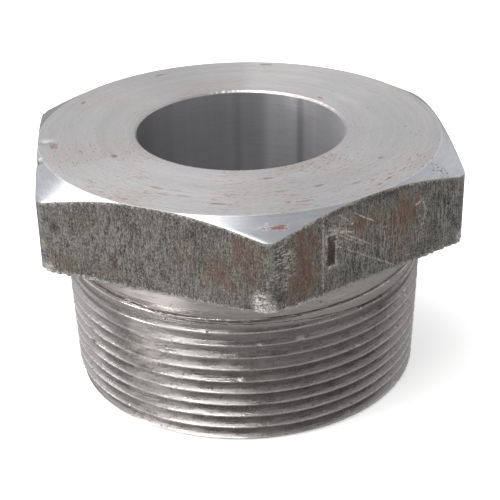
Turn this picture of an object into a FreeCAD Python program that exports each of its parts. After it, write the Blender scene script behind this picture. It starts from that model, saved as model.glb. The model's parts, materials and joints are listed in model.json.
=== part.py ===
import FreeCAD, Part
import os
import re
import Sketcher

# A hollow hex nipple: a hexagon head with chamfered corners, a short plain
# neck and a male taper pipe thread, turned in one piece from hexagon bar and
# bored right through.
#
# Millimetres, +Z up along the bore.  The origin is on the bore's axis, in the
# plane of the threaded end face, and one corner of the head points along -Y.

NODE = "hex_nipple_body"

# The driving dimensions: each is a cell of the sheet, under its own name.
DIMENSIONS = {
    # head
    "across_flats": 66.7,        # 2 5/8 inch hexagon bar
    "hex_height": 14.0,
    "face_inset": 0.15,          # how far inside the flats the top face's circle lies
    "corner_drop": 2.6,          # how far down the chamfer comes at a corner
    # bore
    "bore_diameter": 34.6,
    "bore_edge": 0.45,           # 45 degree edge break at both mouths
    # shank
    "shank_length": 28.0,        # end face to underside of head
    "neck_length": 4.5,          # plain part under the head
    "major_diameter": 60.325,    # neck, and outside limit of the thread
    # thread
    "taper_run": 16.0,           # length in which the diameter grows by one
    "taper_length": 14.8,        # end face to where the crests reach the major diameter
    "end_chamfer": 0.5,          # lead-in on the radius, at 45 degrees
    "pitch": 2.2087,             # 11 1/2 threads to the inch
    "crest_flat": 0.2,
    "root_flat": 0.12,
    "full_length": 11.0,         # full depth ends here, and the run-out begins
    "crest_height": 0.94,        # height of the first crest above the end face, at +X
    # machining allowances, gone from the finished piece
    "turning_stock": 0.5,        # left on the shank's radius until it is turned
    "overrun": 3.0,              # how far a cut passes the surface it leaves
}

# Sizes that follow from them.
DERIVED = {
    "corner_radius": "(across_flats / 2 / cos(30 deg))",
    "face_radius": "(across_flats / 2 - face_inset)",
    "chamfer_slope": "(corner_drop / (corner_radius - face_radius))",
    "total_height": "(shank_length + hex_height)",
    "bore_radius": "(bore_diameter / 2)",
    "neck_radius": "(major_diameter / 2)",
    "stock_radius": "(neck_radius + turning_stock)",
    "clear_radius": "(stock_radius + overrun)",
    "end_crest": "(neck_radius - taper_length / (2 * taper_run))",
    "end_radius": "(end_crest - end_chamfer)",
    "root_depth": "((pitch - crest_flat - root_flat) / (2 * tan(30 deg)))",
    "root_end": "(end_crest - root_depth)",
    "root_full": "(root_end + full_length / (2 * taper_run))",
    "runout_end": "(shank_length - neck_length)",
    "runout_slope": "((runout_end - full_length) / (neck_radius - root_full))",
    "thread_start": "(crest_height - 2 * pitch)",
    "start_crest": "(end_crest + thread_start / (2 * taper_run))",
    "blank_start": "(-2 * pitch)",
    "ridge_sink": "(root_flat / 2)",
}


def formula(text):
    """Write out the derived sizes, and point each dimension at its cell."""
    while re.search(r"\b(%s)\b" % "|".join(DERIVED), text):
        text = re.sub(r"\b(%s)\b" % "|".join(DERIVED), lambda word: DERIVED[word.group()], text)
    return re.sub(r"\b(%s)\b" % "|".join(DIMENSIONS), r"Dims.\1", text)


def new_sketch(owner, plane_role, name):
    """A sketch on one of a body's own origin planes."""
    sketch = owner.newObject("Sketcher::SketchObject", name)
    plane = next(item for item in owner.Origin.OriginFeatures if item.Role == plane_role)
    sketch.AttachmentSupport = [(plane, "")]
    sketch.MapMode = "FlatFace"
    return sketch


def closed_outline(sketch, corners):
    """Join the corners by straight lines, end to end."""
    points = [FreeCAD.Vector(x, y, 0) for x, y in corners]
    ends = points[1:] + points[:1]
    lines = sketch.addGeometry([Part.LineSegment(a, b) for a, b in zip(points, ends)], False)
    for line, following in zip(lines, lines[1:] + lines[:1]):
        sketch.addConstraint(Sketcher.Constraint("Coincident", line, 2, following, 1))
    return lines


def half_section(sketch, corners):
    """Draw a section of radius across and height up, its corners given as formulas."""
    values = [[float(sheet.evalExpression(formula(text))) for text in corner] for corner in corners]
    lines = closed_outline(sketch, values)
    for place, (line, corner, value) in enumerate(zip(lines, corners, values)):
        for kind, axis, text, size in zip(("DistanceX", "DistanceY"), (-2, -1), corner, value):
            if text == "0":
                sketch.addConstraint(Sketcher.Constraint("PointOnObject", line, 1, axis))
                continue
            held = sketch.addConstraint(Sketcher.Constraint(kind, -1, 1, line, 1, size))
            label = "%s%d" % ("radius" if kind == "DistanceX" else "height", place)
            sketch.renameConstraint(held, label)
            sketch.setExpression("Constraints." + label, formula(text))


def turned(owner, kind, name, corners):
    """A Revolution or a Groove: the section turned full circle about the bore's axis."""
    sketch = new_sketch(owner, "XZ_Plane", name + "Section")
    half_section(sketch, corners)
    feature = owner.newObject("PartDesign::" + kind, name)
    feature.Profile = sketch
    feature.ReferenceAxis = (sketch, ["V_Axis"])
    feature.Angle = 360
    feature.Refine = False      # merging faces afterwards spoils the thread's flanks
    return feature


def thread_core():
    """The shank down to the thread's roots, rising to full stock along the run-out."""
    blank = doc.addObject("PartDesign::Body", "ThreadBlank")
    turned(blank, "Revolution", "ThreadCore", [
        ("0", "blank_start"),
        ("root_end + blank_start / (2 * taper_run)", "blank_start"),
        ("root_full", "full_length"),
        ("stock_radius", "runout_end + turning_stock * runout_slope"),
        ("stock_radius", "shank_length"),
        ("0", "shank_length"),
    ])
    return blank


def thread_ridge():
    """The thread itself: one right-hand ridge wound up the taper."""
    half_base = "(crest_flat / 2 + (root_depth + ridge_sink) * tan(30 deg))"
    upright = FreeCAD.Rotation(FreeCAD.Vector(1, 0, 0), 90)
    section = doc.addObject("Sketcher::SketchObject", "RidgeSection")
    section.Placement = FreeCAD.Placement(FreeCAD.Vector(), upright)
    half_section(section, [
        ("start_crest - root_depth - ridge_sink", "thread_start - " + half_base),
        ("start_crest", "thread_start - crest_flat / 2"),
        ("start_crest", "thread_start + crest_flat / 2"),
        ("start_crest - root_depth - ridge_sink", "thread_start + " + half_base),
    ])
    helix = doc.addObject("Part::Helix", "ThreadHelix")
    helix.setExpression("Radius", formula("start_crest"))
    helix.setExpression("Placement.Base.z", formula("thread_start"))
    helix.setExpression("Pitch", formula("pitch"))
    helix.setExpression("Height", formula("shank_length - neck_length / 2 - thread_start"))
    helix.setExpression("Angle", formula("atan(1 / (2 * taper_run))"))
    helix.SegmentLength = 1     # one edge to a turn
    ridge = doc.addObject("Part::Sweep", "ThreadRidge")
    ridge.Sections = [section]
    ridge.Spine = (helix, [])
    ridge.Solid = True
    ridge.Frenet = True
    return ridge


def threaded_blank(core, ridge):
    """The ridge on its core, as the stock that the rest is turned from."""
    stock = doc.addObject("Part::Fuse", "ThreadedBlank")
    stock.Base = core
    stock.Tool = ridge
    return stock


def shank_turning(body):
    """Face the end, cut its lead-in and turn crests and neck to the major diameter."""
    return turned(body, "Groove", "ShankTurning", [
        ("0", "blank_start - overrun"),
        ("clear_radius", "blank_start - overrun"),
        ("clear_radius", "shank_length + overrun"),
        ("neck_radius", "shank_length + overrun"),
        ("neck_radius", "neck_radius - end_radius"),
        ("end_radius", "0"),
        ("0", "0"),
    ])


def hex_head(body):
    """The hexagon, standing on the shank."""
    sketch = new_sketch(body, "XY_Plane", "HexSection")
    sketch.setExpression("AttachmentOffset.Base.z", formula("shank_length"))
    radius = DIMENSIONS["across_flats"] / 2
    turn = FreeCAD.Rotation(FreeCAD.Vector(0, 0, 1), 60)
    corner = FreeCAD.Vector(0, -radius, 0)
    corners = []
    for _ in range(6):
        corners.append((corner.x, corner.y))
        corner = turn.multVec(corner)
    lines = closed_outline(sketch, corners)
    circle = sketch.addGeometry(Part.Circle(FreeCAD.Vector(), FreeCAD.Vector(0, 0, 1), radius), True)
    sketch.addConstraint(Sketcher.Constraint("Coincident", circle, 3, -1, 1))
    for line in lines:
        sketch.addConstraint(Sketcher.Constraint("PointOnObject", line, 1, circle))
    for line in lines[1:]:
        sketch.addConstraint(Sketcher.Constraint("Equal", lines[0], line))
    sketch.addConstraint(Sketcher.Constraint("PointOnObject", lines[0], 1, -2))
    size = sketch.addConstraint(Sketcher.Constraint("Radius", circle, radius))
    sketch.renameConstraint(size, "corner")
    sketch.setExpression("Constraints.corner", formula("corner_radius"))
    pad = body.newObject("PartDesign::Pad", "HexHead")
    pad.Profile = sketch
    pad.setExpression("Length", formula("hex_height"))
    pad.Refine = False
    return pad


def corner_chamfer(body):
    """The cone that takes the six corners down, round the flat top face."""
    return turned(body, "Groove", "CornerChamfer", [
        ("face_radius - overrun", "total_height + overrun * chamfer_slope"),
        ("corner_radius + overrun", "total_height - corner_drop - overrun * chamfer_slope"),
        ("corner_radius + overrun", "total_height + overrun * chamfer_slope"),
    ])


def through_bore(body):
    """The bore, with a broken edge at each mouth."""
    return turned(body, "Groove", "ThroughBore", [
        ("0", "-overrun"),
        ("bore_radius + bore_edge + overrun", "-overrun"),
        ("bore_radius", "bore_edge"),
        ("bore_radius", "total_height - bore_edge"),
        ("bore_radius + bore_edge + overrun", "total_height + overrun"),
        ("0", "total_height + overrun"),
    ])


doc = FreeCAD.newDocument("hex_nipple")
sheet = doc.addObject("Spreadsheet::Sheet", "Dims")
for row, (alias, size) in enumerate(DIMENSIONS.items(), start=1):
    sheet.set("A%d" % row, alias)
    sheet.set("B%d" % row, "%.6g" % size)
    sheet.setAlias("B%d" % row, alias)
doc.recompute()

stock = threaded_blank(thread_core(), thread_ridge())
doc.recompute()
if len(stock.Shape.Solids) != 1:
    raise RuntimeError("the thread's ridge hasn't joined its core")

nipple = doc.addObject("PartDesign::Body", "HexNippleBody")
nipple.Label = NODE
nipple.Placement = FreeCAD.Placement()
nipple.BaseFeature = stock
doc.recompute()

# In the order of the work, and whether each step adds metal (+1) or takes it away.
volume = nipple.Shape.Volume
for step, direction in ((shank_turning, -1), (hex_head, 1), (corner_chamfer, -1), (through_bore, -1)):
    feature = step(nipple)
    doc.recompute()
    change = feature.Shape.Volume - volume
    volume = feature.Shape.Volume
    print("%-14s %+10.1f mm3" % (feature.Label, change))
    if change * direction <= 0:
        raise RuntimeError(feature.Label + " changes nothing, or works the wrong way")

for item in doc.Objects:
    if {"Invalid", "Error"} & set(item.State):
        raise RuntimeError("%s failed: %s" % (item.Label, item.State))
if nipple.Shape.isNull() or not nipple.Shape.isValid() or len(nipple.Shape.Solids) != 1:
    raise RuntimeError(nipple.Label + " isn't one valid solid")

os.makedirs("parts", exist_ok=True)
nipple.Shape.exportStep("parts/%s.step" % nipple.Label)
print("%s: %.1f mm3" % (nipple.Label, nipple.Shape.Volume))
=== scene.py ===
import json
import math
import bpy
import numpy as np
from mathutils import Euler, Matrix, Vector

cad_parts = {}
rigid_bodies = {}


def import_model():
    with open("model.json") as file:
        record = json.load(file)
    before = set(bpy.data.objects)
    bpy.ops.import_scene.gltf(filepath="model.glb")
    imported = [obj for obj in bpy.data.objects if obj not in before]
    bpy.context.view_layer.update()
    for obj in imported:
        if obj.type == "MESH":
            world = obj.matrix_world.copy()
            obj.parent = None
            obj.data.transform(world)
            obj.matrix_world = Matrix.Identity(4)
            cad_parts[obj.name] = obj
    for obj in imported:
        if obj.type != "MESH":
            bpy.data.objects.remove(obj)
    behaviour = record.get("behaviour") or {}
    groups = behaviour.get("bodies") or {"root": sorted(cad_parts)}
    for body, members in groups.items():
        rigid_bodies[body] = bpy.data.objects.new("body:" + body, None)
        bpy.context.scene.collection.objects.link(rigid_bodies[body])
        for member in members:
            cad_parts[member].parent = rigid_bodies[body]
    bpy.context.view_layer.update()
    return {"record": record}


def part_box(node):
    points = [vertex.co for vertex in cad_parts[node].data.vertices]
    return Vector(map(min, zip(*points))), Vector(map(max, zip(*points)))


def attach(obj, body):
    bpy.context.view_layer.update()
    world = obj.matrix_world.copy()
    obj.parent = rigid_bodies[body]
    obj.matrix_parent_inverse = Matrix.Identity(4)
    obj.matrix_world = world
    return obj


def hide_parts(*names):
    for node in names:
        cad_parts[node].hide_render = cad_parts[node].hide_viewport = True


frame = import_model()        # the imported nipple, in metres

mm = 0.001
boxLow, boxHigh = (Vector(corner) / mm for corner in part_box("hex_nipple_body"))
boreMount = next(mount for mount in frame["record"]["mounts"] if mount["name"] == "bore")
print("frame loaded: %.1f x %.1f x %.1f mm" % tuple(boxHigh - boxLow))

# The body's sizes in millimetres. Height, width across flats and bore come from the frame.
body = {
    "height": boxHigh.z,
    "apothem": boxHigh.x,          # half the width across flats
    "boreRadius": boreMount["dims"]["r_mm"],
    "boreEdge": 0.34,              # break at both mouths
    "hexHeight": 14.0,
    "faceInset": 0.15,             # the top face's circle lies this far inside the flats
    "cornerDrop": 2.6,             # how far down the chamfer comes at a corner
    "faceShift": (-0.21, -0.34),   # the face was turned this far off the hexagon's middle
    "shiftShare": 0.75,            # share of that shift met at the corner where the drop is taken
    "faceMargin": 0.03,            # the flats stand at least this far out past the face's circle
    "neckRadius": 30.1625,
    "neckStart": 23.5,             # the thread has run out by here
    "columnsPerFlat": 96,
    "cornerCrowding": 0.6,         # how much closer the columns stand at the corners
    "sharpAbove": 38,              # degrees between two faces that make a sharp edge
}
thread = {
    "pitch": 2.2087,
    "taper": 1 / 32,               # growth of the radius with height
    "taperLength": 14.8,           # where the crests reach the neck's radius
    "endChamfer": 0.5,
    "crestFlat": 0.2,
    "rootFlat": 0.12,
    "fullLength": 11.0,            # full depth up to here
    "crestHeight": 0.94,           # first crest above the end face, at +X
    "flankRows": 3,
}
underside = body["height"] - body["hexHeight"]
cornerRadius = body["apothem"] / math.cos(math.radians(30))
faceRadius = body["apothem"] - body["faceInset"]
shift = math.hypot(*body["faceShift"])
chamferRun = cornerRadius - faceRadius - body["shiftShare"] * shift
chamferSlope = body["cornerDrop"] / chamferRun
endCrest = body["neckRadius"] - thread["taperLength"] * thread["taper"]
flankRun = math.tan(math.radians(30))
fullDepth = (thread["pitch"] - thread["crestFlat"] - thread["rootFlat"]) / 2 / flankRun
rootAtFull = endCrest - fullDepth + thread["fullLength"] * thread["taper"]

# Wear and damage in millimetres. Turns are degrees round from the front corner, towards +X.
wear = {
    "cornerWear": 0.4,             # taken off the hexagon's upright corners
    "cornerVariety": 0.3,          # how much that differs from corner to corner, as a share
    "cornerSoftness": 0.12,
    "rimVariety": 0.3,             # how uneven the break at the bore's mouth is, as a share
    "burrOut": 0.26,               # raised and dropped metal along the head's lower edge
    "burrDown": 0.55,
    "burrReach": (0.6, 0.5),       # how far from the edge the burr goes, inwards and up
    # turn, height, width, depth
    "chips": [(0, 28.4, 1.7, 0.55), (-3.5, 28.1, 1.0, 0.35), (3, 29.6, 0.8, 0.3),
              (-0.6, 31.5, 0.9, 0.22), (0.4, 34.6, 0.7, 0.16), (-75.5, 41.6, 0.9, 0.5),
              (59.5, 28.2, 0.6, 0.2), (59, 39.2, 0.7, 0.3), (-60.4, 28.2, 0.6, 0.2),
              (-59.5, 33.4, 0.9, 0.18), (121, 28.6, 1.3, 0.4), (179, 28.2, 1.5, 0.5),
              (-119.2, 29.5, 1.1, 0.35), (-119, 39.3, 0.8, 0.25), (152, 28.1, 0.9, 0.2)],
    # turn, radius, width, depth
    "dents": [(-87.6, 32.2, 0.75, 0.45), (50, 31.0, 0.4, 0.1), (-170, 29.5, 0.5, 0.12)],
    "nicks": 110,                  # in the thread's crests
    "nickDepth": (0.05, 0.32),
    "nickWidth": (0.3, 1.2),
    "nickHeight": 0.45,
    "crestWear": 0.05,             # taken off the crests, more in some places than others
    "crestDepth": 0.5,             # wear and nicks die out this far below a crest
    "crestDrift": 2.1,             # how fast the wear changes from one crest to the next
}


def columnTurns():
    # once round from the back corner, in radians, closer together near the corners
    even = np.linspace(-1, 1, body["columnsPerFlat"] + 1)
    crowd = body["cornerCrowding"]
    across = 30 * ((1 - crowd) * even + crowd * np.sin(even * math.pi / 2))
    flats = [60 * flat - 150 + across[:-1] for flat in range(6)]
    return np.radians(np.append(np.concatenate(flats), 180))


turns = columnTurns()
angles = turns - math.pi / 2       # the same columns, measured from +X


def around(turn):
    # how far every column lies from a turn in degrees, as radians the short way round
    return (turns - math.radians(turn) + math.pi) % (2 * math.pi) - math.pi


def ripple(seed, slowest, fastest, count=14):
    # a smooth wave round the body, from -1 to 1, that meets itself after a turn
    dice = np.random.default_rng(seed)
    speeds = dice.integers(slowest, fastest + 1, count)
    phases = dice.uniform(0, 2 * math.pi, count)
    wave = sum(np.sin(speed * turns + phase) for speed, phase in zip(speeds, phases))
    return wave / np.abs(wave).max()


nickDice = np.random.default_rng(11)
nicks = [(nickDice.uniform(-180, 180), nickDice.uniform(0.8, 21), nickDice.uniform(*wear["nickWidth"]),
          nickDice.uniform(*wear["nickDepth"])) for _ in range(wear["nicks"])]
crestWaves = ripple(31, 40, 200, 60), ripple(32, 40, 200, 60)


def hexSide():
    # the hexagon's distance from the axis, with its corners worn round
    across = (np.degrees(turns) + 180) % 60 - 30
    side = body["apothem"] / np.cos(np.radians(across))
    limit = cornerRadius - wear["cornerWear"] * (1 + wear["cornerVariety"] * ripple(5, 2, 7))
    soft = wear["cornerSoftness"]
    return limit - soft * np.logaddexp(0, (limit - side) / soft)


def faceReach():
    # how far the face's circle reaches in every direction, never past the flats
    ahead = body["faceShift"][0] * np.cos(angles) + body["faceShift"][1] * np.sin(angles)
    reach = ahead + np.sqrt(faceRadius ** 2 - shift ** 2 + ahead ** 2)
    return np.minimum(reach, hexSide() - body["faceMargin"])


def runOutRoot(heights):
    # the root's radius, which rises to the neck's as the thread runs out
    share = (heights - thread["fullLength"]) / (body["neckStart"] - thread["fullLength"])
    risen = rootAtFull + share * (body["neckRadius"] - rootAtFull)
    return np.maximum(np.where(share > 0, risen, 0), endCrest - fullDepth + heights * thread["taper"])


def threadRadius(heights):
    # the turned blank, the ridge on it and the nicks in the ridge
    crest = endCrest + heights * thread["taper"]
    turn = (heights - thread["crestHeight"]) / thread["pitch"] - angles / (2 * math.pi)
    away = np.abs(turn - np.round(turn)) * thread["pitch"]
    fall = np.clip(away - thread["crestFlat"] / 2, 0, None) / flankRun
    radius = np.maximum(crest - fall, runOutRoot(heights))
    onCrest = np.clip(1 - (crest - radius) / wear["crestDepth"], 0, 1)
    drift = wear["crestDrift"] * heights
    flutter = crestWaves[0] * np.sin(drift) + crestWaves[1] * np.cos(drift)
    radius = radius - wear["crestWear"] * (1 + flutter) * onCrest
    for nickTurn, level, width, depth in nicks:
        reach = (around(nickTurn) * body["neckRadius"] / width) ** 2
        reach = reach + ((heights - level) / wear["nickHeight"]) ** 2
        radius = radius - depth * np.exp(-reach) * onCrest
    leadIn = endCrest - thread["endChamfer"] + heights
    return np.minimum(np.minimum(radius, body["neckRadius"]), leadIn)


def threadRows():
    # rows that climb with the thread, so that its crests and roots lie along the mesh
    halfCrest = thread["crestFlat"] / 2
    steps = np.linspace(0, 1, thread["flankRows"] + 1)
    rows = []
    for turn in range(-2, math.ceil(body["neckStart"] / thread["pitch"]) + 2):
        crest = thread["crestHeight"] + thread["pitch"] * (turn + angles / (2 * math.pi))
        deep = endCrest + crest * thread["taper"] - runOutRoot(crest)
        foot = halfCrest + np.clip(deep, 0.04, fullDepth) * flankRun
        lower = [-foot + (foot - halfCrest) * step for step in steps]
        upper = [halfCrest + (foot - halfCrest) * step for step in steps]
        rows += [crest + offset for offset in [0 * foot - thread["pitch"] / 2] + lower + upper]
    rows = [np.clip(row, 0, body["neckStart"]) for row in rows]
    return [np.stack([threadRadius(row), row]) for row in rows]


def profileRows(corners, radii, cuts, names, arcSteps=4):
    # a path of radius and height, column by column, its corners rounded and its runs divided
    points = [np.stack([np.broadcast_to(side, turns.shape) for side in corner]) for corner in corners]
    arcs = [[points[0]]]
    for before, here, after, radius in zip(points, points[1:], points[2:], radii):
        back, ahead = before - here, after - here
        backLength, aheadLength = np.linalg.norm(back, axis=0), np.linalg.norm(ahead, axis=0)
        cosine = (back * ahead).sum(axis=0) / (backLength * aheadLength)
        setBack = radius * np.sqrt((1 + cosine) / (1 - cosine))
        setBack = np.minimum(setBack, 0.45 * np.minimum(backLength, aheadLength))
        first = here + back / backLength * setBack
        last = here + ahead / aheadLength * setBack
        arcs.append([(1 - t) ** 2 * first + 2 * t * (1 - t) * here + t ** 2 * last
                     for t in np.linspace(0, 1, arcSteps)])
    arcs.append([points[-1]])
    rows = []
    for arc, following, cut, name in zip(arcs, arcs[1:], cuts, names):
        start, end = arc[-1], following[0]
        rows += [(row, name) for row in arc]
        rows += [(start + (end - start) * t, name) for t in np.linspace(0, 1, cut + 1)[1:-1]]
    return rows + [(arcs[-1][0], names[-1])]


def bodyRows():
    # every ring of the mesh: from the top face down the bore, then up the outside
    bore, edge, top, neck = body["boreRadius"], body["boreEdge"], body["height"], body["neckRadius"]
    side, face = hexSide(), faceReach()
    sideTop = top - chamferSlope * (side - face)
    split = (bore + faceRadius) / 2
    rim = bore + edge * (1 + wear["rimVariety"] * ripple(41, 20, 160, 40))
    inside = [(split, top), (rim, top), (bore, top - edge), (bore, edge), (bore + edge, 0),
              (threadRadius(0 * turns), 0)]
    outside = [(neck, body["neckStart"]), (neck, underside), (side, underside), (side, sideTop),
               (face, top), (split, top)]
    rows = profileRows(inside, [0.12, 0.12, 0.1, 0.1], [6, 1, 10, 1, 4],
                       ["face", "break", "bore", "break", "end"])
    rows += [(row, "thread") for row in threadRows()]
    rows += profileRows(outside, [0.5, 0.22, 0.05, 0.05], [8, 6, 34, 6, 8],
                        ["neck", "under", "flat", "chamfer", "face"])
    return rows


def worn(radius, height, names):
    # chips in the head, dents in its face and the burr along its lower edge
    head = np.isin(names, ["under", "flat", "chamfer"])[:, None]
    for turn, level, width, depth in wear["chips"]:
        away = np.hypot(around(turn) * radius, height - level) / width
        radius = radius - head * depth * np.exp(-away ** 2)
    face = np.isin(names, ["face", "chamfer"])[:, None]
    for turn, out, width, depth in wear["dents"]:
        away = np.hypot(around(turn) * radius, radius - out) / width
        height = height - face * depth * np.exp(-away ** 2)
    inwards, upwards = wear["burrReach"]
    nearEdge = ((height - underside) / upwards) ** 2 + ((hexSide() - radius) / inwards) ** 2
    nearEdge = head * np.exp(-nearEdge)
    raised = ripple(21, 60, 260, 50) + 0.5 * ripple(22, 4, 30)
    dropped = np.clip(ripple(23, 60, 270, 50) + 0.4 * ripple(24, 5, 25), 0, None)
    return radius + wear["burrOut"] * raised * nearEdge, height - wear["burrDown"] * dropped * nearEdge


finishNames = {"face": "facedSteel", "chamfer": "facedSteel", "break": "facedSteel", "bore": "boredSteel",
               "end": "facedSteel", "under": "facedSteel", "thread": "threadSteel", "neck": "threadSteel",
               "flat": "millSteel"}
finishOrder = sorted(set(finishNames.values()))


def buildBody():
    rows = bodyRows()
    names = np.array([name for _, name in rows])
    profile = np.stack([row for row, _ in rows])
    steps = np.linalg.norm(np.diff(profile, axis=0), axis=1)
    travelled = np.vstack([0 * turns, np.cumsum(steps, axis=0)])
    along = travelled / travelled.max()
    radius, height = worn(profile[:, 0], profile[:, 1], names)
    grid = np.stack([radius * np.cos(angles), radius * np.sin(angles), height], axis=2)
    # points in the same small cell become one, and faces left without width are dropped
    cell, nudge = 1e-4, 0.37            # the nudge keeps round sizes off a cell's edge
    cells = np.round(grid.reshape(-1, 3) / cell + nudge)
    welded, place = np.unique(cells, axis=0, return_inverse=True)
    place = place.reshape(grid.shape[:2])
    faces, spots, slots = [], [], []
    for row in range(len(rows) - 1):
        slot = finishOrder.index(finishNames[names[row]])
        for column in range(len(turns) - 1):
            corners = [(row, column), (row, column + 1), (row + 1, column + 1), (row + 1, column)]
            points = [place[corner] for corner in corners]
            kept = [k for k in range(4) if points[k] != points[k - 1]]
            if len({points[k] for k in kept}) < 3:
                continue
            faces.append([int(points[k]) for k in kept])
            spots += [(corners[k][1] / (len(turns) - 1), along[corners[k]]) for k in kept]
            slots.append(slot)
    mesh = bpy.data.meshes.new("hexNippleBody")
    mesh.from_pydata(((welded - nudge) * cell * mm).tolist(), [], faces)
    mesh.polygons.foreach_set("material_index", slots)
    mesh.uv_layers.new(name="OFBake").uv.foreach_set("vector", np.array(spots, np.float32).ravel())
    mesh.shade_smooth()
    mesh.set_sharp_from_angle(angle=math.radians(body["sharpAbove"]))
    mesh.use_auto_texspace = False      # keeps the turning lines true circles
    mesh.texspace_location = (0, 0, body["height"] / 2 * mm)
    mesh.texspace_size = (cornerRadius * mm,) * 3
    print("body: %d points, %d faces, valid %s" % (len(welded), len(faces), not mesh.validate()))
    piece = bpy.data.objects.new("hexNippleBody", mesh)
    bpy.context.scene.collection.objects.link(piece)
    return piece


class Wire:
    # a socket in an expression: sums written on it become Math nodes
    def __init__(self, finish, socket):
        self.finish, self.socket = finish, socket

    def output(self, name):
        return Wire(self.finish, self.socket.node.outputs[name])

    def math(self, operation, *values):
        return self.finish.node("ShaderNodeMath", {"operation": operation}, dict(enumerate(values)))

    def fraction(self):
        return self.math("FRACT", self)

    def sine(self):
        return self.math("SINE", self)

    def __add__(self, other):
        return self.math("ADD", self, other)

    def __sub__(self, other):
        return self.math("SUBTRACT", self, other)

    def __rsub__(self, other):
        return self.math("SUBTRACT", other, self)

    def __mul__(self, other):
        return self.math("MULTIPLY", self, other)

    def __truediv__(self, other):
        return self.math("DIVIDE", self, other)

    def __rtruediv__(self, other):
        return self.math("DIVIDE", other, self)

    def __pow__(self, other):
        return self.math("POWER", self, other)

    def __neg__(self):
        return self.math("MULTIPLY", self, -1)

    def __abs__(self):
        return self.math("ABSOLUTE", self)

    def most(self, other):
        return self.math("MAXIMUM", self, other)

    __radd__ = __add__
    __rmul__ = __mul__


alongLines = 0.25       # this share of a turn lays the stretched shine along the turning lines
turnedAt = 30           # the radius in millimetres at which lengths along a turning line are true


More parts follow.
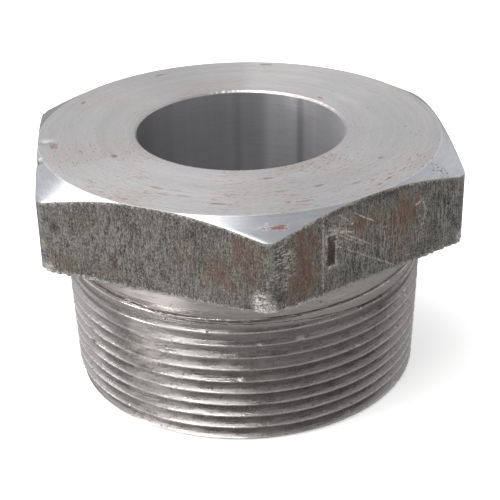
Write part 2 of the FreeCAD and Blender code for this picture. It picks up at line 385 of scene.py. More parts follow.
class Finish:
    # one material, with its place on the body in millimetres
    def __init__(self, name, **fixed):
        self.material = bpy.data.materials.new(name)
        self.material.use_nodes = True
        self.tree = self.material.node_tree
        self.tree.nodes.clear()
        self.shader = self.tree.nodes.new("ShaderNodeBsdfPrincipled")
        output = self.tree.nodes.new("ShaderNodeOutputMaterial")
        self.tree.links.new(self.shader.outputs[0], output.inputs["Surface"])
        for socket, value in fixed.items():
            self.shader.inputs[socket.replace("_", " ")].default_value = value
        place = self.node("ShaderNodeTexCoord", {}, {}, "Object")
        self.place = self.node("ShaderNodeVectorMath", {"operation": "SCALE"}, {0: place, "Scale": 1 / mm})
        split = self.node("ShaderNodeSeparateXYZ", {}, {0: self.place})
        self.x, self.y, self.z = (split.output(axis) for axis in "XYZ")
        self.radius = (self.x * self.x + self.y * self.y) ** 0.5
        self.turn = self.x.math("ARCTAN2", self.x, -self.y)     # radians from the front corner
        shifted = self.vector("SUBTRACT", self.place, (*body["faceShift"], 0))
        shifted = self.vector("MULTIPLY", shifted, (1, 1, 0))
        self.fromFace = self.vector("LENGTH", shifted, output="Value") - faceRadius
        self.flats = {}

    def node(self, kind, settings, inputs, output=0):
        made = self.tree.nodes.new(kind)
        for name, value in settings.items():
            if name == "stops":
                setStops(made.color_ramp, value)
            else:
                setattr(made, name, value)
        for name, value in inputs.items():
            if isinstance(value, Wire):
                self.tree.links.new(value.socket, made.inputs[name])
            else:
                made.inputs[name].default_value = value
        return Wire(self, made.outputs[output])

    def mix(self, mask, under, over, blend="MIX"):
        colours = {0: mask, 6: self.colour(under), 7: self.colour(over)}
        return self.node("ShaderNodeMix", {"data_type": "RGBA", "blend_type": blend}, colours, 2)

    def colour(self, value):
        return value if isinstance(value, Wire) else (*value, 1)

    def fade(self, value, start, end):
        # 0 at the start and 1 at the end, smoothly
        reach = {"Value": value, "From Min": start, "From Max": end}
        return self.node("ShaderNodeMapRange", {"interpolation_type": "SMOOTHSTEP"}, reach)

    def cloud(self, place, detail=3, rough=0.55):
        fineness = {"Vector": place, "Scale": 1, "Detail": detail, "Roughness": rough}
        return self.node("ShaderNodeTexNoise", {}, fineness, "Fac")

    def shaded(self, colour, shade):
        # a colour made darker or lighter
        grey = self.node("ShaderNodeCombineColor", {}, {0: shade, 1: shade, 2: shade})
        return self.mix(1.0, colour, grey, "MULTIPLY")

    def byTurn(self, stops, highest):
        # a value that changes round the body: each stop is a turn in degrees and the value there
        stops = [((turn + 180) / 360, value / highest) for turn, value in stops]
        share = self.turn / (2 * math.pi) + 0.5
        return self.node("ShaderNodeValToRGB", {"stops": stops}, {0: share}) * highest

    def vector(self, operation, *values, output=0):
        return self.node("ShaderNodeVectorMath", {"operation": operation}, dict(enumerate(values)), output)

    def facing(self, turn):
        # how far out the place is towards this turn, and how far aside of it
        side = math.radians(turn)
        out = self.vector("DOT_PRODUCT", self.place, (math.sin(side), -math.cos(side), 0), output="Value")
        aside = self.vector("DOT_PRODUCT", self.place, (math.cos(side), math.sin(side), 0), output="Value")
        return out, aside

    def oval(self, place, middle, size):
        # distance from the middle of an oval, 1 at its edge
        away = self.vector("SUBTRACT", place, (*middle, 0))
        scaled = self.vector("MULTIPLY", away, (1 / size[0], 1 / size[1], 0))
        return self.vector("LENGTH", scaled, output="Value")

    def spot(self, turn, radius, long, wide, ragged=0):
        # 1 in a spot drawn out along the turning lines, 0 outside it
        out, aside = self.facing(turn)
        place = self.node("ShaderNodeCombineXYZ", {}, {0: aside, 1: self.radius})
        away = self.oval(place, (0, radius), (long, wide)) + ragged
        return self.fade(away, 1.1, 0.6) * self.fade(out, 0, 1)

    def flatPlace(self, turn):
        # the place along and up the flat that faces this turn, and whether it is on that flat
        if turn not in self.flats:
            out, aside = self.facing(turn)
            place = self.node("ShaderNodeCombineXYZ", {}, {0: aside, 1: self.z - underside})
            self.flats[turn] = place, self.fade(out, body["apothem"] - 1, body["apothem"] - 0.8)
        return self.flats[turn]

    def scratch(self, turn, start, end, width, ragged):
        # 1 on a straight line between two places on a flat, 0 beside it
        place, near = self.flatPlace(turn)
        run = (end[0] - start[0], end[1] - start[1], 0)
        length = math.hypot(*run)
        away = self.vector("SUBTRACT", place, (*start, 0))
        share = self.vector("DOT_PRODUCT", away, tuple(part / length ** 2 for part in run), output="Value")
        reached = self.node("ShaderNodeClamp", {}, {0: share})
        nearest = self.node("ShaderNodeVectorMath", {"operation": "SCALE"}, {0: run, "Scale": reached})
        beside = self.vector("DISTANCE", away, nearest, output="Value") + ragged
        return near * self.fade(beside, width * 1.3, width * 0.5)

    def scaled(self, across, up):
        # the place in steps of so many millimetres across the body and up it
        return self.node("ShaderNodeVectorMath", {"operation": "MULTIPLY"},
                         {0: self.place, 1: (1 / across, 1 / across, 1 / up)})

    def turned(self, long, wide):
        # the place in steps of so many millimetres along a turning line and across it
        reach = turnedAt / long
        return self.node("ShaderNodeCombineXYZ", {}, {
            0: self.x / self.radius * reach, 1: self.y / self.radius * reach,
            2: (self.radius + self.z) / wide})

    def finish(self, colour, roughness, metallic, height, bumpDepth):
        # height is from 0 to 1, and bumpDepth its range in millimetres
        bump = self.node("ShaderNodeBump", {}, {"Height": height, "Distance": bumpDepth * mm}, "Normal")
        for socket, value in (("Base Color", colour), ("Roughness", roughness), ("Metallic", metallic),
                              ("Normal", bump)):
            if isinstance(value, Wire):
                self.tree.links.new(value.socket, self.shader.inputs[socket])
            else:
                self.shader.inputs[socket].default_value = value
        return self.material


def setStops(ramp, stops):
    # each stop: position and grey level
    while len(ramp.elements) < len(stops):
        ramp.elements.new(1)
    for element, (position, level) in zip(ramp.elements, stops):
        element.position = position
        element.color = (level, level, level, 1)


faced = {
    "steel": (0.55, 0.54, 0.55),
    "warmSteel": (0.535, 0.51, 0.50),
    "chamferSteel": (0.555, 0.565, 0.60),
    # a painted highlight along the circle where the face meets the chamfer
    "edgeSteel": (0.80, 0.80, 0.80),
    "stain": (0.20, 0.165, 0.15),
    "rust": (0.20, 0.075, 0.055),
    "roughness": 0.36,
    "chamferRoughness": 0.2,
    "pitDepth": 0.06,
    "anisotropy": 0.4,
    "edgeShare": 0.5,              # how much of the painted edge highlight, stain, rust and pits shows
    "stainShare": 0.6,
    "rustShare": (0.3, 0.85),      # everywhere, and more in the speckle
    "pitShare": 0.75,
    # a painted sheen on the turning lines: how light the face is painted, by turn
    "fans": [(-180, 0.99), (-163, 0.93), (-150, 0.96), (-135, 1.05), (-118, 1.0), (-92, 0.93), (-70, 0.93),
             (-58, 0.96), (-30, 0.97), (-15, 1.03), (15, 1.02), (32, 1.07), (45, 1.09), (62, 1.02),
             (75, 0.97), (105, 1.0), (120, 1.07), (135, 1.04), (150, 1.12), (168, 1.15), (174, 1.0),
             (180, 0.99)],
    # turn, radius, half length along the turning lines, half width, how red
    "spots": [(-67, 22.9, 0.7, 0.45, 1.0), (-121, 30.4, 0.7, 0.4, 0.7), (-157, 30.3, 1.3, 0.35, 0.7),
              (-54, 30.6, 1.1, 0.28, 0.1), (-44.5, 25.1, 1.2, 0.25, 0.1), (-42, 24.4, 0.9, 0.2, 0.2),
              (-34.4, 26.6, 1.6, 0.3, 0.6), (-30, 28.2, 1.5, 0.25, 0.5), (-23.8, 27.9, 1.5, 0.35, 0.2),
              (-27, 26.4, 1.3, 0.22, 0.3), (-12.1, 29.7, 1.7, 0.3, 0.7), (-9, 26.5, 1.4, 0.4, 0.1),
              (5, 21.2, 0.9, 0.3, 0.9), (7, 26.3, 1.0, 0.3, 0.3), (20, 26.5, 0.9, 0.3, 0.8),
              (12, 30.5, 1.3, 0.26, 0.5), (31, 28.8, 1.0, 0.26, 0.4), (40.3, 31.0, 0.6, 0.28, 0.6),
              (51.6, 25.9, 0.7, 0.35, 0.1), (82, 27.2, 0.5, 0.35, 0.0), (103.5, 23.1, 0.5, 0.3, 0.1),
              (127, 19.1, 0.7, 0.3, 0.9), (-84, 30.9, 1.4, 0.7, 0.6), (165, 31.5, 1.5, 0.5, 0.5),
              (2.7, 35.75, 1.2, 0.42, 1.2), (0.8, 35.7, 0.6, 0.12, 0.3)],
    # turn, radius, spread of a cluster of pits
    "pitted": [(54.3, 35.0, 2.0), (-0.7, 35.4, 0.7), (175, 34.6, 1.6)],
}


def facedSteel():
    # turned bright: rings of fine cutting lines, with rust and stains drawn out along them, a painted sheen
    # by turn and a painted highlight round the face's edge
    paint = Finish("facedSteel", Anisotropic=faced["anisotropy"], Anisotropic_Rotation=alongLines)
    onChamfer = paint.fade(paint.fromFace, -0.02, 0.04)
    # where the painted edge highlight lies: along the face's circle
    onEdgeHighlight = paint.fade(abs(paint.fromFace), 0.14, 0.04)
    rings = paint.cloud(paint.turned(90, 0.11), 2)
    broad = paint.cloud(paint.turned(40, 1.6), 3)
    patches = paint.cloud(paint.scaled(13, 13), 3)
    scrapes = paint.cloud(paint.turned(3.2, 0.3), 4, 0.6)
    speckle = paint.cloud(paint.scaled(0.4, 0.4), 3, 0.7)
    inFront = paint.fade(paint.y, 4, -24)
    drawn = paint.cloud(paint.turned(1.5, 0.2), 3, 0.6)
    stain = paint.fade(drawn + 0.07 * inFront + 0.1 * (patches - 0.5), 0.64, 0.72) * (1 - onChamfer)
    stain = stain.most(paint.fade(scrapes + 0.05 * inFront, 0.68, 0.76) * (1 - onChamfer))
    rust = stain * paint.fade(patches + 0.5 * (broad - 0.5), 0.5, 0.6)
    for turn, radius, long, wide, red in faced["spots"]:
        spot = paint.spot(turn, radius, long, wide, 2.6 * (drawn - 0.5) + 1.6 * (speckle - 0.5))
        rust = rust.most(spot * red)
        stain = stain.most(spot * 0.8)
    pits = 0 * stain
    for turn, radius, spread in faced["pitted"]:
        pits = pits.most(paint.spot(turn, radius, spread, spread, 0))
    pits = pits * paint.fade(speckle, 0.53, 0.62)
    steel = paint.mix(paint.fade(patches, 0.42, 0.66), faced["steel"], faced["warmSteel"])
    # painted sheen: the face made lighter or darker by turn
    steel = paint.shaded(steel, paint.byTurn(faced["fans"], 1.2))
    steel = paint.mix(onChamfer, steel, faced["chamferSteel"])
    # painted highlight round the face's edge
    steel = paint.mix(onEdgeHighlight * faced["edgeShare"], steel, faced["edgeSteel"])
    lines = 0.2 * rings + 0.26 * broad + 0.34 * scrapes
    steel = paint.shaded(steel, 0.62 + lines + 0.16 * (speckle - 0.5))
    steel = paint.mix(stain * faced["stainShare"], steel, faced["stain"])
    everywhere, speckled = faced["rustShare"]
    steel = paint.mix(rust * (everywhere + speckled * speckle), steel, faced["rust"])
    steel = paint.mix(pits * faced["pitShare"], steel, faced["stain"])
    roughness = faced["roughness"] + 0.1 * (broad - 0.5) + 0.2 * stain
    roughness = roughness + (faced["chamferRoughness"] - faced["roughness"]) * onChamfer
    height = 1 - 0.08 * rings - 0.04 * scrapes - 0.5 * pits - 0.2 * rust
    return paint.finish(steel, roughness, 1 - 0.3 * rust - 0.2 * stain, height, faced["pitDepth"])


bored = {
    "steel": (0.58, 0.575, 0.59),
    "roughness": 0.36,
    "anisotropy": 0.5,
    "metallic": 0.75,
    "ringDepth": 0.012,
    # the wall's shade by turn: painted light, lighter on the wall towards +X where the lamps shine in, with
    # narrow upright bands where the tool chattered
    "bands": [(-180, 0.60), (-150, 0.54), (-118, 0.57), (-90, 0.63), (0, 0.8), (100, 1.2), (120, 1.19),
              (126, 1.14), (132, 1.0), (134, 0.9), (136, 0.62), (138, 0.62), (140, 0.92), (156, 0.92),
              (162, 0.67), (172, 0.63), (176, 0.52), (180, 0.60)],
}


def boredSteel():
    # bored: lines round the wall, upright bands, and painted light by turn
    paint = Finish("boredSteel", Anisotropic=bored["anisotropy"], Anisotropic_Rotation=alongLines)
    rings = paint.cloud(paint.turned(60, 0.25), 3)
    marks = paint.cloud(paint.turned(4, 0.5), 4, 0.65)
    bands = paint.cloud(paint.scaled(3, 90), 3)
    # painted light by turn, with the chatter bands
    bandsAndPaintedLight = paint.byTurn(bored["bands"], 1.25)
    steel = paint.shaded(bored["steel"], bandsAndPaintedLight * (0.62 + 0.2 * rings + 0.4 * bands + 0.2 * marks))
    steel = paint.mix(paint.fade(marks, 0.68, 0.76) * 0.5, steel, faced["stain"])
    roughness = bored["roughness"] + 0.1 * (marks - 0.5)
    return paint.finish(steel, roughness, bored["metallic"], rings, bored["ringDepth"])


threadPaint = {
    "steel": (0.47, 0.445, 0.435),
    # painted highlight along the crests
    "crest": (0.86, 0.84, 0.83),
    # painted shade in the roots
    "root": (0.46, 0.435, 0.41),
    "neck": (0.52, 0.475, 0.455),
    "grime": (0.07, 0.06, 0.052),
    "roughness": 0.29,
    "polished": (20.8, 23.7),      # the heights between which the neck is rubbed smooth
    "neckRoughness": 0.15,
    "matteRoughness": 0.36,        # between the smooth part and the head
    "meets": 0.7,                  # these zones run into each other over this height
    "anisotropy": 0.7,
    "cutDepth": 0.12,
    # how much lighter or darker the thread is painted, by turn: lighter towards -X, darker towards +X
    "shades": [(-180, 1.0), (-78, 1.22), (-48, 1.12), (-12, 1.08), (22, 0.77), (60, 0.70), (105, 0.9),
               (180, 1.0)],
    # how much lighter the neck is painted, by turn: lighter all round, and from -90 to -16 a painted
    # highlight
    "neckShades": [(-180, 1.42), (-90, 1.66), (-62, 1.72), (-36, 1.72), (-16, 1.43), (180, 1.42)],
    # torn lines round the end of the run-out, painted dark as the shade of their grooves: height by turn, and
    # half width
    "tears": [([(-180, 23.3), (-57, 23.4), (-25, 22.6), (-5, 22.4), (50, 23.6), (180, 23.3)], 0.3),
              ([(-180, 22.9), (-40, 22.9), (-20, 21.9), (10, 21.7), (36, 20.9), (61, 21.5),
                (180, 22.4)], 0.12)],
}


def threadSteel():
    # cut thread: crests painted bright as a highlight, roots painted a little darker as shade, and the die's
    # own lines along the helix
    paint = Finish("threadSteel", Anisotropic=threadPaint["anisotropy"], Anisotropic_Rotation=alongLines)
    depth = endCrest + paint.z * thread["taper"] - paint.radius
    lines = paint.cloud(paint.turned(26, 0.14), 3, 0.6)
    torn = paint.cloud(paint.turned(2.6, 0.3), 4, 0.65)
    patches = paint.cloud(paint.turned(9, 2.5), 3)
    specks = paint.cloud(paint.scaled(0.5, 0.35), 3, 0.6)
    onCrest = paint.fade(depth + 0.25 * (torn - 0.5), 0.26, 0.04)
    shadedRoot = paint.fade(depth, 0.5, 1.6)
    low, high = threadPaint["polished"]
    onNeck = paint.fade(paint.z, low, low + threadPaint["meets"])
    matte = paint.fade(paint.z, high, high + threadPaint["meets"])
    # painted shade in the roots and a painted highlight on the crests
    steel = paint.mix(shadedRoot, threadPaint["steel"], threadPaint["root"])
    steel = paint.mix(onCrest * 0.8, steel, threadPaint["crest"])
    steel = paint.mix(onNeck, steel, threadPaint["neck"])
    shade = paint.byTurn(threadPaint["shades"], 1.3) * (1 - onNeck)
    # the neck painted lighter, with a painted highlight from -90 to -16
    shade = shade + paint.byTurn(threadPaint["neckShades"], 1.8) * onNeck
    steel = paint.shaded(steel, shade * (0.30 + 0.45 * lines + 0.45 * torn + 0.45 * patches))
    shadedTear = 0 * torn
    for heights, width in threadPaint["tears"]:
        away = abs(paint.z - paint.byTurn(heights, 30) - 0.8 * (torn - 0.5))
        broken = paint.fade(torn + 0.3 * patches, 0.46, 0.58)
        shadedTear = shadedTear.most(paint.fade(away, width * 1.3, width * 0.3) * broken)
    grime = paint.fade(specks + 0.12 * (patches - 0.5), 0.65, 0.71)
    flecks = paint.fade(specks + 0.3 * (torn - 0.5), 0.37, 0.31)
    steel = paint.mix(flecks * 0.5, steel, threadPaint["crest"])
    # grime specks, and painted shade along the torn lines
    steel = paint.mix(grime.most(shadedTear) * 0.75, steel, threadPaint["grime"])
    roughness = threadPaint["roughness"] + 0.6 * (torn - 0.5) + 0.2 * (patches - 0.5) + 0.2 * grime
    roughness = roughness + (threadPaint["neckRoughness"] - threadPaint["roughness"]) * onNeck
    roughness = roughness + (threadPaint["matteRoughness"] - threadPaint["neckRoughness"]) * matte
    height = 1 - 0.4 * torn - 0.3 * lines - 0.5 * shadedTear - 0.3 * grime + 0.2 * specks
    return paint.finish(steel, roughness, 1.0, height, threadPaint["cutDepth"])


mill = {
    "dark": (0.09, 0.083, 0.075),
    "light": (0.545, 0.525, 0.49),
    "rust": (0.165, 0.108, 0.086),
    "rustWarm": (0.185, 0.118, 0.078),
    "rustCore": (0.11, 0.068, 0.054),
    "pale": (0.85, 0.83, 0.78),
    "pit": (0.04, 0.037, 0.034),
    "roughness": 0.46,
    "skinDepth": 0.12,
    # each pattern's width and height in millimetres, its detail and how rough it is
    "patterns": {"grain": (0.18, 0.40, 3, 0.75), "fibre": (0.30, 2.2, 3, 0.65), "mottle": (1.1, 1.7, 3, 0.65),
                 "clouds": (5, 8, 3, 0.55), "specks": (0.30, 0.42, 2, 0.7), "rusty": (1.5, 6, 4, 0.65),
                 "scuffed": (1.1, 0.16, 3, 0.75), "ragged": (0.4, 0.3, 4, 0.75)},
    # how light the skin is, by turn
    "shades": [(-180, 1.0), (-58, 1.0), (-45, 0.94), (-2, 0.93), (2, 1.0), (12, 1.04), (60, 1.05), (90, 1.0),
               (180, 1.0)],
    # turn of the flat's middle, then along it and up it: middle, half width, half height; how strong
    "rustPatches": [(-30, 15.6, 8.0, 3.4, 7.0, 1.1), (-30, 10.9, 5.5, 3.4, 4.5, 1.1),
                    (-30, 5.2, 7.5, 3.2, 4.5, 0.5), (-30, -15.5, 2.2, 3.2, 2.6, 0.7),
                    (-30, -6.5, 2.0, 2.4, 1.8, 0.7), (-30, -12, 10, 5, 3, 0.4),
                    (30, -13.2, 6.0, 4.5, 11.5, 1.3), (30, 5.6, 8.4, 5.6, 6.0, 1.35),
                    (30, -2.6, 9.4, 5.0, 3.6, 1.2), (90, -8, 7, 4, 7, 0.8), (90, 12, 4, 3, 4, 1.0),
                    (150, 3, 8, 6, 3, 0.8), (-150, -11, 6, 4, 8, 1.0), (-90, 8, 5, 5, 4, 0.8)],
    # turn of the flat's middle, then start and end along it and up it, half width and how strong
    "scratches": [(30, -8.4, 10.9, 0.4, 5.2, 0.15, 1), (30, -6.8, 7.4, 4.8, 0.4, 0.17, 1),
                  (30, -3.8, 11.9, -0.1, 9.6, 0.14, 0.9), (30, -6.7, 12.5, -4.1, 10.3, 0.17, 0.9),
                  (30, -9.2, 10.8, -3.9, 8.9, 0.16, 1), (30, -7.2, 9.6, -2.2, 6.3, 0.14, 0.7),
                  (30, -6.9, 8.4, -3.9, 5.9, 0.12, 0.6), (30, -6.2, 6.2, -3.4, 4.6, 0.12, 0.6),
                  (30, -9.7, 13.2, -9.6, -0.3, 0.22, 1), (30, 8.5, 9.6, 9.8, 10.1, 0.2, 0.8),
                  (30, 9.8, 10.1, 10.9, 8.0, 0.28, 0.8), (30, 10.9, 8.0, 10.1, 5.9, 0.32, 0.8),
                  (30, 10.1, 5.9, 9.4, 4.0, 0.15, 0.7), (30, 9.4, 4.0, 9.6, 1.3, 0.1, 0.7),
                  (30, 14.9, 11.2, 15.3, 5.2, 0.13, 0.8), (30, 17.6, 10.5, 17.7, 4.0, 0.09, 0.5),
                  (30, 6.6, 1.6, 12.2, 0.8, 0.12, 0.7), (-30, 4.2, 9.6, 6.0, 7.0, 0.12, 0.35),
                  (-30, 5.9, 9.2, 6.6, 7.9, 0.14, 0.4), (-30, -17.0, 6.8, -12.6, 5.6, 0.14, 0.35),
                  (-30, 18.7, 8.8, 18.6, 3.0, 0.14, 0.8), (90, -14, 3, -4, 8.5, 0.14, 0.8),
                  (90, 6, 11, 9, 2, 0.12, 0.7), (150, -9, 9, 1, 4, 0.15, 0.8), (150, 8, 3, 15, 9, 0.12, 0.6),
                  (-150, 2, 12, 4, 1, 0.14, 0.7), (-90, -12, 8, -3, 3, 0.14, 0.7)],
    # scuffed and battered places, given like the rust
    "scuffs": [(30, -17.0, 8.4, 2.6, 6.0, 1.4), (30, -6.6, 9.6, 3.6, 3.6, 0.7), (30, 4, 1.8, 5, 1.6, 0.4),
               (30, 15, 1.4, 5, 1.8, 0.5), (-30, -14, 6, 5, 1.6, 0.35), (-30, 0, 1.6, 12, 1.6, 0.35),
               (90, 14, 7, 4, 5, 0.8), (150, -16, 5, 3, 5, 0.8), (-150, 12, 3, 6, 3, 0.7),
               (-90, -15, 8, 3, 5, 0.8)],
    # rubbed bright in upright streaks
    "rubbed": [(30, 15, 7.5, 4.5, 10, 1.0), (30, 0, 5, 8, 7, 0.8), (-30, -4, 7, 9, 7, 0.3),
               (90, 2, 7, 8, 6, 0.6), (150, -8, 8, 6, 6, 0.8), (-150, 6, 6, 7, 7, 0.7),
               (-90, -2, 6, 7, 6, 0.7)],
    # knocked corners
    "battered": [(-30, 17.6, 1.4, 1.8, 3.0, 1.3), (30, -18.8, 0.9, 1.3, 1.9, 1.2),
                 (-30, -18.2, 0.6, 1.6, 1.4, 1), (30, 18.6, 1.0, 1.2, 1.6, 1), (150, 18, 1, 2, 2, 1),
                 (-150, -17, 1, 2, 2.5, 1)],
    # a struck gouge: turn of the flat's middle, middle, half width, half height
    "gouges": [(30, -8.1, 7.1, 0.72, 2.4), (150, -2, 4, 0.6, 1.8)],
    "darkStains": [(-30, -16.6, 7.6, 1.5, 1.5, 0.8), (-30, -17.8, 9.4, 1.2, 1.2, 0.5),
                   (30, -7.2, 13.2, 2.2, 0.8, 0.7), (30, 3.0, 13.3, 6.5, 0.9, 0.6),
                   (150, -4, 13.2, 5, 0.8, 0.6)],
}


def millSteel():
    # the bar's own drawn skin: fine upright grain, rust, scratches and battered edges
    paint = Finish("millSteel")
    up = paint.z - underside
    # along the flat from its middle: six flats to a turn, counted from the front corner
    across = (paint.turn / math.radians(60) + 6).fraction() - 0.5
    along = paint.radius * (across * math.radians(60)).sine()
    toCorner = cornerRadius / 2 - abs(along)
    grain, fibre, mottle, clouds, specks, rusty, scuffed, ragged = (
        paint.cloud(paint.scaled(wide, tall), detail, rough)
        for wide, tall, detail, rough in mill["patterns"].values())

    def places(name, edge, ragging):
        # the listed ovals as one mask with a ragged rim
        mask = 0 * grain
        for turn, middle, level, wide, tall, strength in mill[name]:
            place, near = paint.flatPlace(turn)
            away = paint.oval(place, (middle, level), (wide, tall)) + ragging
            mask = mask.most(near * paint.fade(away, 1.1, edge) * strength)
        return mask

    tone = 0.48 + 2.1 * (grain - 0.5) + 0.9 * (fibre - 0.5)
    tone = tone + 0.6 * (mottle - 0.5) + 0.4 * (clouds - 0.5)
    steel = paint.mix(paint.fade(tone, 0.02, 1.02), mill["dark"], mill["light"])
    steel = paint.shaded(steel, paint.byTurn(mill["shades"], 1.1))
    rust = places("rustPatches", 0.1, 2.6 * (rusty - 0.5) + 0.8 * (mottle - 0.5))
    rust = rust.most(paint.fade(rusty + 0.4 * (clouds - 0.5), 0.58, 0.75) * 0.45)
    brown = paint.mix(paint.fade(mottle, 0.4, 0.62), mill["rust"], mill["rustWarm"])
    steel = paint.mix(rust * 0.7, steel, paint.shaded(brown, 0.1 + 1.0 * fibre + 0.8 * grain))
    core = rust * paint.fade(mottle + 0.5 * (rusty - 0.5), 0.5, 0.66)
    steel = paint.mix(core * 0.5, steel, mill["rustCore"])
    pits = paint.fade(specks + 0.25 * (grain - 0.5), 0.37, 0.31)
    pits = pits.most(places("darkStains", 0.3, 1.2 * (mottle - 0.5)))
    flecks = paint.fade(specks + 0.3 * (grain - 0.5), 0.64, 0.72)
    steel = paint.mix(pits * 0.65, steel, mill["pit"])
    steel = paint.mix(flecks * 0.4, steel, mill["pale"])
    pale = 0 * rust
    for turn, fromAlong, fromUp, toAlong, toUp, width, strength in mill["scratches"]:
        line = paint.scratch(turn, (fromAlong, fromUp), (toAlong, toUp), width, 0.45 * (ragged - 0.5))
        pale = pale.most(line * strength)
    pale = pale * paint.fade(grain + 0.3 * (mottle - 0.5), 0.40, 0.56)
    gouged = 0 * rust
    for turn, middle, level, wide, tall in mill["gouges"]:
        place, near = paint.flatPlace(turn)
        offset = paint.vector("ABSOLUTE", paint.vector("SUBTRACT", place, (middle, level, 0)))
        sides = paint.node("ShaderNodeSeparateXYZ", {}, {0: offset})
        inside = (sides - wide).most(sides.output("Y") - tall) + 0.9 * (ragged - 0.5) + 0.9 * (scuffed - 0.5)
        thrown = paint.fade(mottle + 0.5 * (scuffed - 0.5), 0.44, 0.54)
        rim = paint.fade(abs(inside - 0.22), 0.34, 0.1) * thrown
        pale = pale.most(near * rim)
        gouged = gouged.most(near * paint.fade(inside, 0.1, -0.05))
    steel = paint.mix(gouged * 0.85, steel, mill["rustCore"])
    crosswise = paint.fade(scuffed + 0.25 * (grain - 0.5), 0.51, 0.60)
    scuffs = places("scuffs", 0.2, 0.8 * (mottle - 0.5)) * crosswise
    crumbled = paint.fade(ragged + 0.35 * (scuffed - 0.5), 0.42, 0.56)
    battered = places("battered", 0.5, 1.4 * (ragged - 0.5)) * crumbled
    upright = paint.fade(fibre + 0.3 * (grain - 0.5), 0.48, 0.64)
    rubbed = places("rubbed", 0.2, 0.8 * (mottle - 0.5)) * upright
    # worn along the lower edge, the chamfer's edge and the upright corners
    lowEdge = paint.fade(up + 2.6 * (ragged - 0.5) + 1.0 * (mottle - 0.5), 0.55, 0.1)
    toChamfer = chamferFoot(paint) - paint.z
    upEdge = paint.fade(toChamfer + 3 * (ragged - 0.5) + 1.2 * (mottle - 0.5), 0.4, 0.05) * 0.9
    cornerEdge = paint.fade(toCorner + 6 * (scuffed - 0.5) + 2.5 * (ragged - 0.5), 0.5, 0.0) * 0.6
    pale = pale.most(scuffs).most(rubbed * 0.5).most(battered).most(lowEdge).most(upEdge).most(cornerEdge)
    steel = paint.mix(pale * 0.8, steel, mill["pale"])
    roughness = mill["roughness"] + 0.2 * rust - 0.08 * pale + 0.25 * (mottle - 0.5)
    height = 0.5 + 0.45 * (grain - 0.5) + 0.25 * (fibre - 0.5) + 0.25 * (mottle - 0.5)
    height = height - 0.25 * pits + 0.2 * pale - 0.6 * gouged + 0.1 * rust
    return paint.finish(steel, roughness, 1 - 0.25 * rust - 0.3 * battered, height, mill["skinDepth"])


def chamferFoot(paint):
    # how high the chamfer's lower edge is, at this distance from the axis
    return body["height"] - chamferSlope * paint.fromFace


nipple = buildBody()
paints = {"facedSteel": facedSteel, "boredSteel": boredSteel, "threadSteel": threadSteel,
          "millSteel": millSteel}
for name in finishOrder:
    nipple.data.materials.append(paints[name]())
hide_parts("hex_nipple_body")
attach(nipple, "root")
print("finishes:", ", ".join(finishOrder))

# where the camera stands and how it is held: millimetres and degrees
camera = {
    "distance": 193.76,
    "height": 119.92,
    "beside": 5.581,               # stands this far round from the front corner, towards -X
    "pan": 0.326,
    "tilt": 27.515,
    "roll": -1.206,
    "lens": 90.19,
    "nearest": 10,                 # nothing closer than this is drawn
}


def placeCamera():
    side = math.radians(-90 - camera["beside"])
    data = bpy.data.cameras.new("viewCamera")
    data.lens = camera["lens"]
    data.clip_start = camera["nearest"] * mm
    view = bpy.data.objects.new("viewCamera", data)
    held = Euler((math.radians(90 - camera["tilt"]), 0, math.radians(-camera["beside"] - camera["pan"])))
    rolled = held.to_matrix() @ Matrix.Rotation(math.radians(camera["roll"]), 3, "Z")
    view.rotation_euler = rolled.to_euler()
    away = camera["distance"]
    view.location = Vector((away * math.cos(side), away * math.sin(side), camera["height"])) * mm
    bpy.context.scene.collection.objects.link(view)
    bpy.context.scene.camera = view


# Lamps round the nipple: azimuth from +X, elevation, distance, width and height in metres, watts, colour.
lamps = {
    "keyLamp": (127, 58, 0.7, 0.36, 0.50, 1.75, (1.0, 1.0, 1.0)),
    "sideLamp": (-138, 62, 0.7, 0.42, 0.70, 2.7, (1.0, 0.98, 0.97)),
    "lowLamp": (-162, 18, 0.7, 0.20, 0.30, 1.3, (1.0, 0.98, 0.97)),
}
# Brightness all round: how high it is seen (-1 straight down, 1 straight up), and how bright.
surroundings = [(-1, 0.24), (-0.3, 0.32), (0.05, 0.44), (0.3, 0.80), (0.6, 0.68), (1, 0.50)]
# a brighter place low on one side: azimuth from +X, elevation, degrees to its core and edge, added
brightPlace = (-144, -26, 4, 9, 3.4)
# size in metres, and how far the floor lies below the nipple in millimetres
floorPaint = {"colour": (0.86, 0.86, 0.86), "glow": 0.45, "roughness": 0.7, "size": 8.0, "gap": 0.05}


def towards(azimuth, elevation):
    level = math.cos(math.radians(elevation))
    return Vector((math.cos(math.radians(azimuth)) * level, math.sin(math.radians(azimuth)) * level,
                   math.sin(math.radians(elevation))))


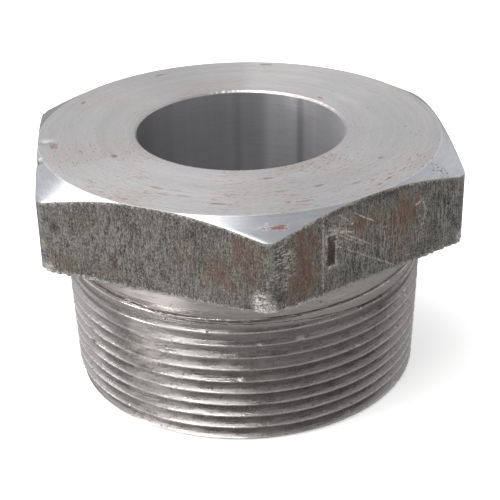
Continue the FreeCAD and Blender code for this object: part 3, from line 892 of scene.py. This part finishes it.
def placeLamps():
    target = Vector((0, 0, body["height"] / 2 * mm))
    for name, (azimuth, elevation, distance, width, tall, watts, colour) in lamps.items():
        data = bpy.data.lights.new(name, "AREA")
        data.shape, data.size, data.size_y = "RECTANGLE", width, tall
        data.energy, data.color = watts, colour
        lamp = bpy.data.objects.new(name, data)
        away = towards(azimuth, elevation)
        lamp.location = target + away * distance
        lamp.rotation_euler = away.to_track_quat("Z", "Y").to_euler()
        bpy.context.scene.collection.objects.link(lamp)
    world = bpy.data.worlds.new("surroundings")
    world.use_nodes = True
    nodes, links = world.node_tree.nodes, world.node_tree.links
    direction = nodes.new("ShaderNodeTexCoord")
    split = nodes.new("ShaderNodeSeparateXYZ")
    spread = nodes.new("ShaderNodeMapRange")
    spread.inputs["From Min"].default_value = -1
    ramp = nodes.new("ShaderNodeValToRGB")
    setStops(ramp.color_ramp, [((high + 1) / 2, bright) for high, bright in surroundings])
    links.new(direction.outputs["Generated"], split.inputs[0])
    links.new(split.outputs["Z"], spread.inputs["Value"])
    links.new(spread.outputs[0], ramp.inputs[0])
    azimuth, elevation, core, edge, added = brightPlace
    near = nodes.new("ShaderNodeVectorMath")
    near.operation = "DOT_PRODUCT"
    near.inputs[1].default_value = towards(azimuth, elevation)
    glow = nodes.new("ShaderNodeMapRange")
    glow.interpolation_type = "SMOOTHSTEP"
    glow.inputs["From Min"].default_value = math.cos(math.radians(edge))
    glow.inputs["From Max"].default_value = math.cos(math.radians(core))
    glow.inputs["To Max"].default_value = added
    total = nodes.new("ShaderNodeVectorMath")
    links.new(direction.outputs["Generated"], near.inputs[0])
    links.new(near.outputs["Value"], glow.inputs["Value"])
    links.new(ramp.outputs[0], total.inputs[0])
    links.new(glow.outputs[0], total.inputs[1])
    links.new(total.outputs[0], nodes["Background"].inputs["Color"])
    bpy.context.scene.world = world
    bpy.context.scene.view_settings.view_transform = "Standard"


def placeFloor():
    half = floorPaint["size"] / 2
    mesh = bpy.data.meshes.new("floor")
    corners = [(-half, -half, 0), (half, -half, 0), (half, half, 0), (-half, half, 0)]
    mesh.from_pydata(corners, [], [(0, 1, 2, 3)])
    floor = bpy.data.objects.new("floor", mesh)
    floor.location.z = -floorPaint["gap"] * mm
    pale = bpy.data.materials.new("paleFloor")
    pale.use_nodes = True
    shader = pale.node_tree.nodes["Principled BSDF"].inputs
    shader["Base Color"].default_value = (*floorPaint["colour"], 1)
    shader["Roughness"].default_value = floorPaint["roughness"]
    shader["Emission Color"].default_value = (1, 1, 1, 1)
    shader["Emission Strength"].default_value = floorPaint["glow"]
    mesh.materials.append(pale)
    floor.visible_glossy = False       # the metal mirrors the surroundings alone
    bpy.context.scene.collection.objects.link(floor)


placeCamera()
placeLamps()
placeFloor()
print("camera, lamps and floor placed")
